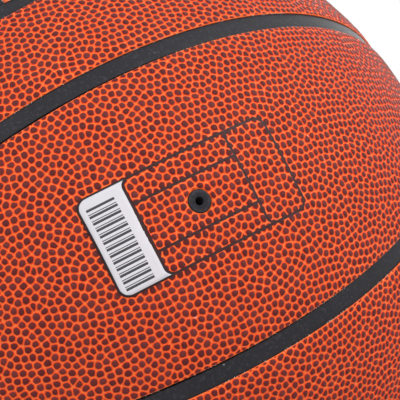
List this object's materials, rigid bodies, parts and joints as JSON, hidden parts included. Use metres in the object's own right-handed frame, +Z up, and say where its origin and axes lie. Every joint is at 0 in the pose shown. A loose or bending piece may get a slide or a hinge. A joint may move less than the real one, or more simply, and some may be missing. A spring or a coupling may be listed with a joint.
{
  "type": "basketball",
  "caption": "Inflatable ball with pebbled leather panels set between recessed rubber ribs, an inner bladder, winding and carcass, and a pull-out needle valve core.",
  "frame": {"origin": "centre of the ball", "axes": "-Y out through the valve, +Z up from the valve towards the equator rib, X along the strip panel that holds the valve"},
  "size_m": [0.2418, 0.2418, 0.2419],
  "materials": {
    "panel_skin": "pebbled composite leather, dark tops and orange valleys",
    "panel_backing": "matte microfibre felt",
    "rib_rubber": "matte black",
    "carcass_rubber": "matte black",
    "winding_thread": "wound nylon thread in latex",
    "bladder_rubber": "smooth butyl",
    "valve_rubber": "matte dark grey",
    "label_film": "satin white film"
  },
  "bodies": {
    "ball": {"bladder": "bladder_rubber", "carcass": "carcass_rubber", "equator_rib": "rib_rubber", "label_film": "label_film", "lower_back_strip_backing": "panel_backing", "lower_back_strip_skin": "panel_skin", "lower_divider_rib": "rib_rubber", "lower_left_rib": "rib_rubber", "lower_oval_back_backing": "panel_backing", "lower_oval_back_skin": "panel_skin", "lower_oval_front_backing": "panel_backing", "lower_oval_front_skin": "panel_skin", "lower_oval_rib": "rib_rubber", "lower_right_rib": "rib_rubber", "upper_back_strip_backing": "panel_backing", "upper_back_strip_skin": "panel_skin", "upper_divider_rib": "rib_rubber", "upper_front_strip_backing": "panel_backing", "upper_front_strip_skin": "panel_skin", "upper_left_rib": "rib_rubber", "upper_oval_left_backing": "panel_backing", "upper_oval_left_skin": "panel_skin", "upper_oval_rib": "rib_rubber", "upper_oval_right_backing": "panel_backing", "upper_oval_right_skin": "panel_skin", "upper_right_rib": "rib_rubber", "valve_housing": "valve_rubber", "valve_patch": "bladder_rubber", "valve_strip_backing": "panel_backing", "valve_strip_skin": "panel_skin", "winding": "winding_thread"},
    "core": {"valve_core": "valve_rubber"}
  },
  "joints": [
    {"name": "valve_core_pull", "type": "slide", "parent": "ball", "child": "core", "axis": [0, -1, 0], "range_m": [0, 0.03]}
  ]
}
